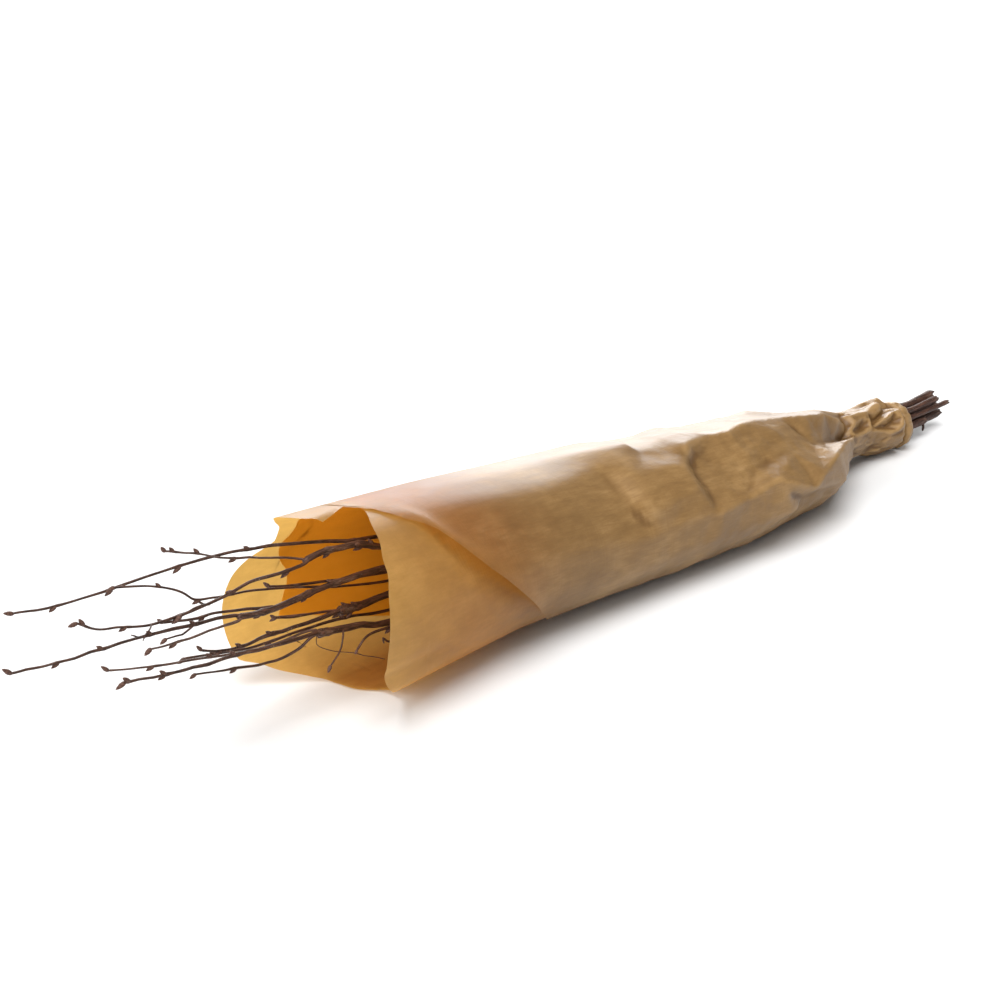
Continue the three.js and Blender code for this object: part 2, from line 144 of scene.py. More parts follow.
# The creases of the handled end, as folds between places pushed out or in: x, angle,
# how far out in millimetres. Each row is one fold line.
FOLD_LINES = [
    [(-60, 66, 0.6), (20, 66, 1.2), (126, 57, 1.6)],
    [(-60, 36, 0), (60, 40, -0.4), (130, 36, -0.2), (176, 58, -0.8)],
    [(-60, 12, 0), (60, 14, 0.2), (150, 10, 0.4), (203, 6, 0.8)],
    [(-60, -14, 0.4), (80, -12, 0.8), (160, -10, 1.0), (255, -16, 1.5), (326, -12, 1.5)],
    [(-60, 90, 0.2), (60, 90, 0.2), (150, 92, 0.2), (217, 80, 2.6)],
    [(-60, 114, 0.6), (60, 116, 1.0), (150, 120, 1.0), (220, 128, 0.6)],
    [(-60, 140, 0), (60, 140, 0), (150, 146, 0), (180, 160, 0.8)],
    [(-60, 168, 0.2), (90, 164, 0.4), (180, 160, 0.8)],
    [(-60, 200, 0.2), (90, 202, 0.6), (200, 210, 0.8), (300, 216, 1.4)],
    [(-60, 228, 0.2), (90, 228, 0.2), (300, 236, 0.4), (440, 238, 0.4)],
    [(-60, 252, 0), (90, 252, 0), (300, 256, 0), (440, 258, 0)],
    [(-60, 274, 0), (90, 274, 0), (300, 274, 0), (440, 276, 0)],
    [(-60, 296, 0), (90, 296, 0), (300, 294, 0), (400, 296, 0), (440, 296, -1.4)],
    [(-60, 318, 0), (90, 316, 0.2), (300, 314, 0.4), (400, 318, -0.6), (438, 318, -3.0),
     (460, 320, -3.4)],
    [(-60, 334, 0), (90, 332, 0.2), (300, 332, 0.4), (400, 334, -0.8), (436, 334, -3.4)],
    [(126, 57, 1.6), (177, 68, 0.8), (217, 80, 1.0), (222, 74, 0.6), (271, 85, 0.6), (294, 73, 0.8),
     (303, 71, 1.2), (325, 77, 1.0), (375, 81, 0.2), (404, 74, 1.2), (430, 70, 2.0),
     (448, 60, 1.4), (470, 50, -1.5)],
    [(217, 80, 1.0), (195, 51, 1.8), (190, 25, 2.0), (203, 6, 0.8)],
    [(176, 58, -0.8), (178, 37, -1.5), (190, 13, -1.2)],
    [(260, 60, -2.6), (251, 44, -3.0), (252, 29, -2.4)],
    [(271, 85, 0.6), (262, 66, 1.2), (238, 50, 1.6), (230, 30, 1.4)],
    [(303, 71, 1.2), (304, 52, -2.2), (304, 37, -4.2)],
    [(238, 30, 1.2), (246, 8, 1.8), (278, 12, 1.6), (326, -12, 1.5)],
    [(310, 20, 2.2), (314, 9, 0.6), (344, -12, -2.0), (345, 3, 2.5), (362, 14, 2.8), (389, 26, 2.0),
     (420, 34, 0.6), (452, 33, 0.0)],
    [(345, 3, 2.5), (394, -2, 1.0), (428, 4, -2.2)],
    [(375, 81, 0.2), (350, 62, -0.6), (304, 37, -4.2)],
    [(404, 74, 1.2), (385, 50, -3.2)],
    [(304, 37, -4.2), (350, 44, -2.6), (385, 50, -3.2), (404, 50, -4.2), (432, 48, -5.8),
     (456, 42, -6.8), (463, 41, -5.2)],
    [(456, 42, -6.8), (452, 33, 0.0), (440, 18, -1.2), (428, 4, -2.8), (418, -14, -4.0)],
    [(452, 10, -4.6), (450, -10, -5.6)],
    [(386, 96, -1.6), (425, 101, -0.6), (462, 106, 1.2)],
    [(414, 78, 0.8), (442, 80, 1.0), (482, 92, 1.0)],
    [(220, 128, 0.6), (262, 150, -0.8), (300, 138, 0.6), (352, 156, -1.2), (402, 140, 0.8)],
    [(240, 186, 1.6), (300, 176, -1.8), (352, 190, 2.2), (402, 176, -1.6), (440, 168, 1.6)],
    [(180, 160, 0.8), (240, 186, 1.6), (262, 150, -0.8)],
    [(300, 216, 1.4), (362, 224, -1.0), (410, 212, 1.8)],
    [(330, 116, -1.6), (300, 138, 0.6), (300, 176, -1.8)],
    [(352, 156, -1.2), (386, 120, 0.4), (402, 140, 0.8), (430, 148, -1.2)],
    [(230, 105, -0.4), (271, 110, -1.0), (330, 116, -1.6), (386, 120, 0.4)],
]
# How much deeper than drawn the folds and the knot's folds lie.
FOLD_DEPTH = 2.1
KNOT_DEPTH = 1.35

# Along the sleeve: how much of the folds shows, and how many times they are softened.
FOLD_SHARE = np.array([[-60, 0.6], [180, 0.85], [250, 1.0], [556, 1.0]])
FOLD_SOFTENING = np.array([[0, 26], [130, 22], [200, 5], [250, 1], [480, 0.5], [556, 0.5]])

# The far side was handled too, and is pushed out and in at uneven places, which keep
# clear of the near side's turns and of the drawn folds.
HANDLED_FROM = 175
HANDLED_TO = 470
UNEVEN_SEED = 7
UNEVEN_SPACING = 30.0
UNEVEN_IN_A_ROUND = 11
UNEVEN_SHIFT = 11
UNEVEN_DEPTH = 2.4
NEAR_SIDE_ENDS = 100
NEAR_SIDE_BEGINS = 310
CLEAR_OF_FOLDS = 15

# Crumples over the folds, flat between points pushed out or in at random: spacing in
# millimetres and in degrees, then how high they are along the sleeve.
CRUMPLES = [
    (21, 23, np.array([[150, 0], [185, 0.6], [240, 1.7], [460, 1.9], [475, 0.6], [556, 0.6]])),
    (9, 11, np.array([[120, 0], [200, 0.3], [280, 0.65], [460, 0.7], [556, 0.4]])),
    (6, 19, np.array([[462, 0], [478, 1.3], [540, 1.3], [556, 0.7]])),
]
CRUMPLE_SEED = 11
CRUMPLE_SHIFT = 0.4

# Over the stems' ridge the paper is pulled taut and crumples less.
TAUT_AT = 104
TAUT_WIDTH = 24
TAUT_SHARE = 0.75

# The knot's folds, where the gathered sheet was wrung and tucked in.
KNOT_LINES = [
    [(478, 102, 1.6), (488, 106, 1.8), (507, 115, 2.2), (525, 118, 2.8), (541, 114, 4.4)],
    [(512, 103, 0.4), (520, 102, -0.4), (527, 98, 0.4)],
    [(523, 91, 2.6), (524, 78, 2.8), (519, 68, 1.6)],
    [(529, 80, -2.6), (541, 84, -2.4)],
    [(482, 70, 3.0), (495, 70, 3.6), (506, 68, 3.0), (516, 64, 1.4)],
    [(525, 66, -2.6), (511, 54, -3.4), (506, 42, -2.4)],
    [(530, 54, 1.6), (518, 45, 2.2), (508, 39, 1.2)],
    [(527, 36, -2.0), (518, 29, -2.4), (510, 32, -1.4)],
    [(538, 54, 2.8), (535, 36, 2.8), (530, 22, 2.4), (524, 14, 1.8)],
    [(470, 42, 1.0), (481, 52, 2.4), (495, 57, 3.0), (502, 50, 2.8), (499, 37, 2.6), (486, 29, 2.6),
     (472, 31, 1.6), (470, 42, 1.0)],
    [(486, 43, -1.2), (494, 44, -1.0)],
    [(504, 26, 2.2), (512, 19, 2.0), (518, 6, 1.2)],
    [(474, 14, 0.4), (503, -1, -0.8), (513, -4, 1.2), (516, -20, 0.6)],
    [(535, 8, 1.2), (532, -8, 0.6)],
    [(479, 84, -0.6), (476, 63, -2.2), (470, 50, -2.7)],
    [(531, 140, 2.4), (512, 146, -1.4)],
    [(496, 132, 1.8), (506, 160, 2.6), (530, 170, 1.4), (541, 190, 2.2)],
    [(500, 182, -2.0), (516, 196, 2.0), (534, 214, -1.6)],
    [(494, 214, 1.6), (512, 232, -1.2), (532, 246, 1.0)],
    [(466, -42, -5.0), (482, -44, -5.0), (500, -42, -4.0), (518, -38, -1.4), (540, -40, -0.6)],
    [(468, -66, -4.0), (500, -66, -3.6), (524, -66, -1.0)],
]

# The form is worked out on a lattice along and round the sleeve.
LATTICE_STEP = 1.0
LATTICE_TURN = 2.0
lattice_x = np.arange(-66, 556, LATTICE_STEP)
lattice_angle = np.arange(0, 360, LATTICE_TURN)
MM_PER_DEGREE = 0.9


def net_between(points, lines=()):
    """Triangles between places on the unrolled sheet, which goes on at both sides."""
    spread = [(x, angle + turn, out) for turn in (-360, 0, 360) for x, angle, out in points]
    edges = [(a + len(points) * k, b + len(points) * k) for k in range(3) for a, b in lines]
    flat = [Vector((x, angle * MM_PER_DEGREE)) for x, angle, out in spread]
    found = delaunay_2d_cdt(flat, edges, [], 0, 1e-5)
    places = np.array([[v.x, v.y / MM_PER_DEGREE] for v in found[0]])
    outs = np.array([spread[origin[0]][2] if origin else 0.0 for origin in found[3]])
    return places, outs, [tuple(face) for face in found[2]]


def folded_net():
    """The net of the fold points, with each fold line kept as an edge of triangles."""
    randomly = np.random.default_rng(UNEVEN_SEED)
    points, lines, deepened = [], [], []
    for depth, drawn_lines in ((FOLD_DEPTH, FOLD_LINES), (KNOT_DEPTH, KNOT_LINES)):
        deepened += [[(x, angle, out * depth) for x, angle, out in line] for line in drawn_lines]
    for line in deepened:
        picked = []
        for point in line:
            if point not in points:
                points.append(point)
            picked.append(points.index(point))
        lines += zip(picked[:-1], picked[1:])
    drawn = len(points)
    for x in np.arange(HANDLED_FROM, HANDLED_TO, UNEVEN_SPACING):
        for angle in np.arange(0, 360, 360 / UNEVEN_IN_A_ROUND):
            place = (
                float(x + randomly.uniform(-UNEVEN_SHIFT, UNEVEN_SHIFT)),
                float(angle + randomly.uniform(-UNEVEN_SHIFT, UNEVEN_SHIFT)),
                float(randomly.uniform(-1, 1)) * UNEVEN_DEPTH,
            )
            if not NEAR_SIDE_ENDS <= place[1] % 360 <= NEAR_SIDE_BEGINS:
                continue
            near = min(
                math.hypot(place[0] - p[0], ((place[1] - p[1] + 180) % 360 - 180) * MM_PER_DEGREE)
                for p in points[:drawn]
            )
            if near > CLEAR_OF_FOLDS:
                points.append(place)
    return net_between(points, lines)


def flat_between(places, faces, values, filled):
    """Fills the lattice with values that run straight across each triangle of a net."""
    x, angle = np.meshgrid(lattice_x, lattice_angle, indexing="ij")
    for face in faces:
        a, b, c = (places[i] for i in face)
        low, high = np.min([a, b, c], axis=0), np.max([a, b, c], axis=0)
        inside = (x >= low[0]) & (x <= high[0]) & (angle >= low[1]) & (angle <= high[1])
        area = (b[0] - a[0]) * (c[1] - a[1]) - (c[0] - a[0]) * (b[1] - a[1])
        if abs(area) < 1e-6 or not inside.any():
            continue
        px, pa = x[inside], angle[inside]
        share_b = ((px - a[0]) * (c[1] - a[1]) - (c[0] - a[0]) * (pa - a[1])) / area
        share_c = ((b[0] - a[0]) * (pa - a[1]) - (px - a[0]) * (b[1] - a[1])) / area
        share_a = 1 - share_b - share_c
        held = (share_a >= -1e-6) & (share_b >= -1e-6) & (share_c >= -1e-6)
        flat = (
            share_a[:, None] * values[face[0]]
            + share_b[:, None] * values[face[1]]
            + share_c[:, None] * values[face[2]]
        )
        kept = filled[inside]
        kept[held] = flat[held]
        filled[inside] = kept
    return filled


def crumpled(x):
    """How far the crumples stand out, everywhere on the lattice."""
    randomly = np.random.default_rng(CRUMPLE_SEED)
    height = np.zeros(x.shape + (1,))
    for along, round_it, heights in CRUMPLES:
        first = max(heights[0][0] - along, lattice_x[0])
        count = int(360 / round_it)
        points = [
            (
                px + randomly.uniform(-CRUMPLE_SHIFT, CRUMPLE_SHIFT) * along,
                (j + randomly.uniform(-CRUMPLE_SHIFT, CRUMPLE_SHIFT)) * 360 / count,
                randomly.uniform(-1, 1),
            )
            for px in np.arange(first, lattice_x[-1] + along, along)
            for j in range(count)
        ]
        places, outs, faces = net_between(points)
        layer = flat_between(places, faces, outs[:, None], np.zeros_like(height))
        height += layer * straight_reading(heights, x)[..., None]
    return height


def creased_form():
    """The sleeve's surface on the lattice, flat between its folds where it was handled."""
    x, angle = np.meshgrid(lattice_x, lattice_angle, indexing="ij")
    smooth = smooth_sleeve(x, angle)
    places, outs, faces = folded_net()
    corners = smooth_sleeve(places[:, 0], places[:, 1])
    corners = corners + outward(places[:, 0], places[:, 1]) * outs[:, None]
    folded = flat_between(places, faces, corners, smooth.copy())
    share = straight_reading(FOLD_SHARE, x)[..., None]
    form = smooth + (folded - smooth) * share
    passes = straight_reading(FOLD_SOFTENING, x)[..., None]
    for number in range(math.ceil(passes.max())):
        softer = form.copy()
        softer[1:-1] = softer[1:-1] * 0.5 + (softer[:-2] + softer[2:]) * 0.25
        softer = softer * 0.5 + (np.roll(softer, 1, axis=1) + np.roll(softer, -1, axis=1)) * 0.25
        form = form + (softer - form) * np.clip(passes - number, 0, 1)
    slack = 1 - TAUT_SHARE * hump(angle, TAUT_AT, TAUT_WIDTH)[..., None]
    return form + outward(x, angle) * crumpled(x) * slack


form = creased_form()


def on_form(x, angle):
    """The creased surface at any place, read between the lattice's points."""
    along = np.clip((x - lattice_x[0]) / LATTICE_STEP, 0, len(lattice_x) - 1.001)
    turned = (angle % 360) / LATTICE_TURN
    i, j = along.astype(int), turned.astype(int) % len(lattice_angle)
    s, t = (along - i)[..., None], (turned - turned.astype(int))[..., None]
    k = (j + 1) % len(lattice_angle)
    return (
        form[i, j] * (1 - s) * (1 - t)
        + form[i + 1, j] * s * (1 - t)
        + form[i, k] * (1 - s) * t
        + form[i + 1, k] * s * t
    )


# Under the roll the inner turns step in by a layer, and rest on the outer turn.
STEP_IN_FROM = 262
STEP_IN_TO = 300
LAYER_STEP = 1.3
OUTER_TURN_RESTS_AT = 0.15
INNER_TURNS_REST_HIGHER = 1.0
INNER_TURNS_RISE_IN = 20

# The free edge springs off the turn below it, which is pressed in there, until both lie
# close again behind the mouth.
EDGE_SPRING = 3.4
EDGE_SPRING_WIDTH = 16.0
EDGE_SPRINGS_OFF = (12.5, 34)
PRESSED_IN = 4.2
PRESSED_WIDTH = 17.0
PRESSED_IN_OVER = (13, 30)
LAYERS_CLOSE_OVER = (60, 100)

# The mouth's near rim is bent out and in: turn, width, height. That ends over these x.
MOUTH_FLARES = [(327, 6.5, 1.0), (341, 6.0, -2.2)]
MOUTH_FLARES_END = (-18, 10)

# The free corner of the sheet hangs over the mouth's top in a small bent flap, from a
# hinge given as x, turn.
FLAP_HINGE = np.array([[-45, 91.0], [-14, 96.5]])
FLAP_BEND = math.radians(40)
FLAP_TURNS = 30
FLAP_ENDS_AT = 12

# Gathered pleats that run into the neck: angle, where each begins, height.
PLEATS = [
    (118, 436, -2.0), (136, 410, 2.2), (158, 432, -2.6), (182, 404, 2.6), (204, 430, -2.6),
    (226, 420, 2.4), (250, 440, -2.0), (276, 430, 1.6), (300, 440, -2.0), (326, 430, 1.4),
]
PLEAT_WIDTH = 9.0
PLEATS_FULL_AT = 482
PLEATS_END = (488, 512)

# Rows of points from the mouth to the collar, closer where the sheet is gathered, and
# then the degrees by which the collar turns in towards the stems.
SHEET_ROWS = np.concatenate([
    np.linspace(MOUTH_ROW, 24, 22, endpoint=False),
    np.linspace(24, 200, 44, endpoint=False),
    np.linspace(200, 400, 76, endpoint=False),
    np.linspace(400, 480, 36, endpoint=False),
    np.linspace(480, COLLAR_ROW, 54),
])
COLLAR_TUCK = np.linspace(0, 110, 9)[1:]
COLLAR_ROUND = 9.5
SHEET_COLUMNS = 236


def sheet_grid():
    """The sheet's points, row by row, each with its turn and its row's first turn."""
    points, turns, starts = [], [], []
    steps = np.linspace(0, 1, SHEET_COLUMNS)
    for row, tuck in [(x, 0.0) for x in SHEET_ROWS] + [(COLLAR_ROW, t) for t in COLLAR_TUCK]:
        start = straight_reading(FREE_EDGE, row)
        turn = start + (straight_reading(LAST_TURN, row) - start) * steps
        (edge,) = smooth_reading(MOUTH_EDGE, turn)
        x = row + (edge - MOUTH_ROW) * straight_reading(MOUTH_FADE, row)
        place = on_form(x, turn)
        out = outward(x, turn)
        lift = -LAYER_STEP * eased(turn, STEP_IN_FROM, STEP_IN_TO)
        apart = 1 - eased(x, *LAYERS_CLOSE_OVER)
        springing = hump(turn, start, EDGE_SPRING_WIDTH) * eased(row, *EDGE_SPRINGS_OFF)
        pressed = hump(turn - 360, start, PRESSED_WIDTH) * eased(row, *PRESSED_IN_OVER)
        lift += (EDGE_SPRING * springing - PRESSED_IN * pressed) * apart
        flared = sum(height * hump(turn, at, width) for at, width, height in MOUTH_FLARES)
        lift += flared * (1 - eased(x, *MOUTH_FLARES_END))
        for angle, begins, height in PLEATS:
            aside = (turn - angle + 180) % 360 - 180
            pleat = np.exp(-np.abs(aside / PLEAT_WIDTH) ** 1.5)
            shown = eased(x, begins, PLEATS_FULL_AT) * (1 - eased(x, *PLEATS_END))
            lift += height * pleat * shown
        lift -= COLLAR_ROUND * (1 - math.cos(math.radians(tuck)))
        place = place + out * lift[:, None]
        past_hinge = np.clip(straight_reading(FLAP_HINGE, x) - turn, 0, FLAP_TURNS)
        hanging = past_hinge * MM_PER_DEGREE * (row < FLAP_ENDS_AT)
        place[:, 1] += hanging * (1 - math.cos(FLAP_BEND))
        place[:, 2] -= hanging * math.sin(FLAP_BEND)
        place[:, 0] += COLLAR_ROUND * math.sin(math.radians(tuck))
        higher = eased(turn, STEP_IN_FROM - INNER_TURNS_RISE_IN, STEP_IN_FROM)
        resting = OUTER_TURN_RESTS_AT + INNER_TURNS_REST_HIGHER * higher
        place[:, 2] = np.maximum(place[:, 2], resting)
        points.append(place)
        turns.append(turn)
        starts.append(np.full(SHEET_COLUMNS, start))
    return np.array(points), np.array(turns), np.array(starts)


def mesh_piece(name, points, faces):
    """A piece of the bundle from points drawn in millimetres."""
    mesh = bpy.data.meshes.new(name)
    placed = (np.asarray(points).reshape(-1, 3) - DRAWN_MIDDLE) / 1000
    mesh.from_pydata(placed.tolist(), [], faces)
    mesh.shade_smooth()
    piece = bpy.data.objects.new(name, mesh)
    bpy.context.scene.collection.objects.link(piece)
    return piece


def grid_faces(rows, columns):
    corner = np.arange(rows * columns).reshape(rows, columns)
    quads = np.stack([corner[:-1, :-1], corner[:-1, 1:], corner[1:, 1:], corner[1:, :-1]], axis=-1)
    return quads.reshape(-1, 4).tolist()


def mark(piece, name, values):
    """One number at each point of a piece, for its material to read."""
    attribute = piece.data.attributes.new(name, "FLOAT", "POINT")
    attribute.data.foreach_set("value", np.asarray(values, dtype=np.float32).ravel())


sheet_points, sheet_turns, sheet_starts = sheet_grid()
sheet_x = sheet_points[..., 0]
sleeve = mesh_piece("kraft_sleeve", sheet_points, grid_faces(*sheet_turns.shape))

# Painted glow: the paper is tinted deep ochre where it lies double, for light that comes through
# from inside, and less so on the near side, where little light comes from behind.
PAINTED_GLOW_PAST_EDGE = (-0.5, 2.5)
NEAR_SIDE_PAINTED_GLOW = 0.3
FAR_SIDE_BEGINS = (428, 450)
tint = NEAR_SIDE_PAINTED_GLOW + (1 - NEAR_SIDE_PAINTED_GLOW) * eased(sheet_turns, *FAR_SIDE_BEGINS)
mark(sleeve, "painted_glow", eased(sheet_turns - 360 - sheet_starts, *PAINTED_GLOW_PAST_EDGE) * tint)

# Less light comes through where the sheet closes in on the stems.
STEMS_SHADE = 0.8
STEMS_CLOSE_IN = (20, 150)
mark(sleeve, "lit_through", 1 - STEMS_SHADE * eased(sheet_x, *STEMS_CLOSE_IN))

# The end that was gripped and wrung is wrinkled all over.
SMOOTH_END_WRINKLES = 0.12
WRINKLES_SET_IN = (190, 330)
wrinkled = SMOOTH_END_WRINKLES + (1 - SMOOTH_END_WRINKLES) * eased(sheet_x, *WRINKLES_SET_IN)
mark(sleeve, "handled", wrinkled)

# Ridges of folds get wear and painted highlight, valleys painted shade, most of all in the knot.
# Each point is set against the four points two steps away from it.
FOLD_WEAR_AND_SHADE = 0.35
KNOT_WEAR_AND_SHADE = 1.4
KNOT_SETS_IN = (440, 482)
middles = sheet_points[2:-2, 2:-2]
around = (
    sheet_points[4:, 2:-2] + sheet_points[:-4, 2:-2] + sheet_points[2:-2, 4:] + sheet_points[2:-2, :-4]
) / 4
sunken = np.zeros_like(sheet_points)
sunken[2:-2, 2:-2] = around - middles
hollow = np.sum(sunken * outward(sheet_x, sheet_turns), axis=-1)
wear_and_shade = FOLD_WEAR_AND_SHADE + KNOT_WEAR_AND_SHADE * eased(sheet_x, *KNOT_SETS_IN)
mark(sleeve, "ridge", np.clip(-hollow * wear_and_shade, -1, 1))

# The sheet's own two directions, in metres, for its fibres.
ROLL_RADIUS = 0.055
flat_map = sleeve.data.uv_layers.new(name="sheet")
corner_points = np.zeros(len(sleeve.data.loops), dtype=np.int64)
sleeve.data.loops.foreach_get("vertex_index", corner_points)
flat_places = np.stack(
    [sheet_x.ravel() / 1000, np.radians(sheet_turns.ravel()) * ROLL_RADIUS], axis=-1
)
flat_map.data.foreach_set("uv", flat_places[corner_points].astype(np.float32).ravel())


class Shade:
    """One output in a material's nodes, written into sums as if it were a number."""

    def __init__(self, tree, socket=None):
        self.tree = tree
        self.socket = socket

    def node(self, kind, settings, sockets, output=0):
        """A new node: its settings come first, then its sockets' values or links."""
        made = self.tree.nodes.new(kind)
        for name, setting in settings.items():
            setattr(made, name, setting)
        for name, value in sockets.items():
            if isinstance(value, Shade):
                self.tree.links.new(value.socket, made.inputs[name])
            else:
                made.inputs[name].default_value = value
        return Shade(self.tree, made.outputs[output])

    def maths(self, operation, *values):
        return self.node("ShaderNodeMath", {"operation": operation}, dict(enumerate(values)))

    def size(self):
        return self.maths("ABSOLUTE", self)

    def __add__(self, other):
        return self.maths("ADD", self, other)

    def __radd__(self, other):
        return self.maths("ADD", other, self)

    def __sub__(self, other):
        return self.maths("SUBTRACT", self, other)

    def __rsub__(self, other):
        return self.maths("SUBTRACT", other, self)

    def __mul__(self, other):
        return self.maths("MULTIPLY", self, other)

    def __rmul__(self, other):
        return self.maths("MULTIPLY", other, self)

    def between(self, low, high, to_low=0.0, to_high=1.0):
        """From one value to another, softly, as this one goes from low to high."""
        return self.node(
            "ShaderNodeMapRange",
            {"interpolation_type": "SMOOTHSTEP"},
            {"Value": self, "From Min": low, "From Max": high, "To Min": to_low, "To Max": to_high},
        )

    def tint(self, without, full):
        """A colour that goes from one to another as this value goes from 0 to 1."""
        return self.node("ShaderNodeMix", {"data_type": "RGBA"}, {0: self, 6: without, 7: full}, 2)

    def bumps(self, strength, depth):
        """The slopes of this value, as a relief of a depth in metres."""
        return self.node(
            "ShaderNodeBump", {}, {"Strength": strength, "Distance": depth, "Height": self}
        )

    def marked(self, name, output="Fac"):
        """What a piece's points are marked with under a name."""
        return self.node("ShaderNodeAttribute", {"attribute_name": name}, {}, output)


def finish_named(name):
    """A new material, as an empty start for its nodes, and its output node."""
    material = bpy.data.materials.new(name)
    material.use_nodes = True
    material.node_tree.nodes.clear()
    end = material.node_tree.nodes.new("ShaderNodeOutputMaterial")
    return material, Shade(material.node_tree), end


def stretched_noise(start, places, stretch, scale, detail=4.0, roughness=0.6):
    """Cloudy noise, longer in the directions whose stretch is small."""
    scaled = start.node("ShaderNodeMapping", {}, {"Vector": places, "Scale": stretch})
    return start.node(
        "ShaderNodeTexNoise",
        {},
        {"Vector": scaled, "Scale": scale, "Detail": detail, "Roughness": roughness},
    )


KRAFT = (0.275, 0.158, 0.056, 1)
KRAFT_PALE = (0.365, 0.226, 0.097, 1)
KRAFT_DARK = (0.18, 0.099, 0.034, 1)
# Painted shade for the folds' valleys, and painted glow for the paper that lies double.
KRAFT_PAINTED_CREASE_SHADE = (0.13, 0.066, 0.021, 1)
KRAFT_PAINTED_GLOW = (0.62, 0.25, 0.001, 1)
KRAFT_FLECK = (0.15, 0.075, 0.026, 1)
KRAFT_GLOW = (1.0, 0.58, 0.14, 1)
LET_THROUGH = 0.46
KRAFT_SHEEN = 0.32
KRAFT_BUMP = 0.5
KRAFT_RELIEF = 0.0005


def kraft_paper():
    """Brown pulp, fibres and ribs along the sheet, worn folds, painted highlight, shade and glow."""
    material, start, end = finish_named("kraft_paper")
    places = start.node("ShaderNodeUVMap", {"uv_map": "sheet"}, {})

    # Noises are sized in repeats a metre, and a small stretch draws them out that way.
    blotches = stretched_noise(start, places, (1, 1, 1), 18, 3)
    pulp = stretched_noise(start, places, (0.35, 1, 1), 160, 5, 0.65)
    fibres = stretched_noise(start, places, (0.12, 1, 1), 900, 3, 0.7)
    ribs = stretched_noise(start, places, (1, 0.03, 1), 700, 1)
    flecks = stretched_noise(start, places, (0.3, 1, 1), 620, 2, 0.5).between(0.66, 0.76)
    ridge = start.marked("ridge")

    # Pulp from dark to pale, then worn folds with painted highlight and shade, painted glow, flecks.
    tone = blotches * 0.45 + pulp * 0.35 + fibres * 0.2 + ribs * 0.06
    body = tone.between(0.38, 0.68).tint(KRAFT_DARK, KRAFT)
    body = tone.between(0.52, 0.80).tint(body, KRAFT_PALE)
    # Ridges paler with wear and painted highlight, valleys darker with painted shade.
    worn_and_highlit = (ridge * 1.6).between(0.1, 1.0, 0, 0.55).tint(body, KRAFT_PALE)
    painted_crease_shade = (ridge * -2.4).between(0.1, 1.0, 0, 0.8).tint(worn_and_highlit, KRAFT_PAINTED_CREASE_SHADE)
    # Painted glow: deep ochre where the paper lies double, for light coming through it.
    inside = (start.marked("painted_glow") * 0.8).tint(painted_crease_shade, KRAFT_PAINTED_GLOW)
    colour = (flecks * 0.35).tint(inside, KRAFT_FLECK)

    # Wrinkles are sharp lines where a noise crosses its middle.
    broad = (stretched_noise(start, places, (0.8, 1, 1), 34, 1) - 0.5).size()
    small = (stretched_noise(start, places, (0.9, 1, 1), 90, 1) - 0.5).size()
    wrinkles = (broad.between(0, 0.12) + small.between(0, 0.12) * 0.3) * start.marked("handled")
    relief = pulp * 0.5 + fibres * 0.3 + ribs * 0.25 + blotches * 0.8 + wrinkles * 1.2
    bumped = relief.bumps(KRAFT_BUMP, KRAFT_RELIEF)
    paper = start.node(
        "ShaderNodeBsdfPrincipled",
        {},
        {
            "Base Color": colour,
            "Roughness": 0.34 + pulp * 0.15,
            "Specular IOR Level": KRAFT_SHEEN,
            "Normal": bumped,
        },
    )

    # Some of the light from behind comes through, more where the pulp is thin.
    glow = start.node("ShaderNodeBsdfTranslucent", {}, {"Color": KRAFT_GLOW, "Normal": bumped})
    sheer = LET_THROUGH * start.marked("lit_through") * (0.72 + pulp * 0.36 + blotches * 0.2)
    both = start.node("ShaderNodeMixShader", {}, {0: sheer, 1: paper, 2: glow})
    material.node_tree.links.new(both.socket, end.inputs["Surface"])
    return material


kraft = kraft_paper()
sleeve.data.materials.append(kraft)
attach(sleeve, "root")
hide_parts("paper_wrap")


# The twigs: nine cut birch shoots with dark bark, gathered at the knot and loose at the
# tips. Each is laid in and held by the paper alone. Its forks and buds grow
# from it, and every stretch between two main forks is one piece here.

NECK_X = 492
NECK_MIDDLE = (2.5, 17.5)
BUTT_MIDDLE = (-2, 17)
RING_STEP = 2.6
TWIG_SIDES = 12

# A shoot wanders a little, except near its ends, is of uneven girth, and swells at each
# bud's node. Its cut end is torn, round a heart that stands back.
WANDER = 0.22
WANDER_RINGS = 6
STEADY_ENDS = 12
UNEVEN_GIRTH = 0.045
NODE_SWELLING = 0.28
NODE_LENGTH = 2.6
BUTT_NARROWS = 0.9
TIP_NARROWS = 0.6
TORN = 0.7
HEART_GIRTH = 0.5
HEART_DEPTH = 0.35

# Buds lean out from the shoot by these degrees and are rooted in it. Their scales
# overlap in rows, each with pointed ends.
BUD_LENGTH = 5.8
BUD_RADIUS = 1.2
BUD_ROOT = 1.2
BUD_SIDES = 12
BUD_RINGS = 13
BUD_LEAN = 30
TIP_BUD_LEAN = 8
BUD_SEAT = 0.75
BUD_SCALES = 3.4
SCALE_POINTS = 0.55
SCALE_THICKNESS = 0.16


def gathered(butt_x, across, up):
    """The held end of a shoot, from its cut end to the neck."""
    return [
        (butt_x, BUTT_MIDDLE[0] + across, BUTT_MIDDLE[1] + up),
        (NECK_X, NECK_MIDDLE[0] + across, NECK_MIDDLE[1] + up),
    ]


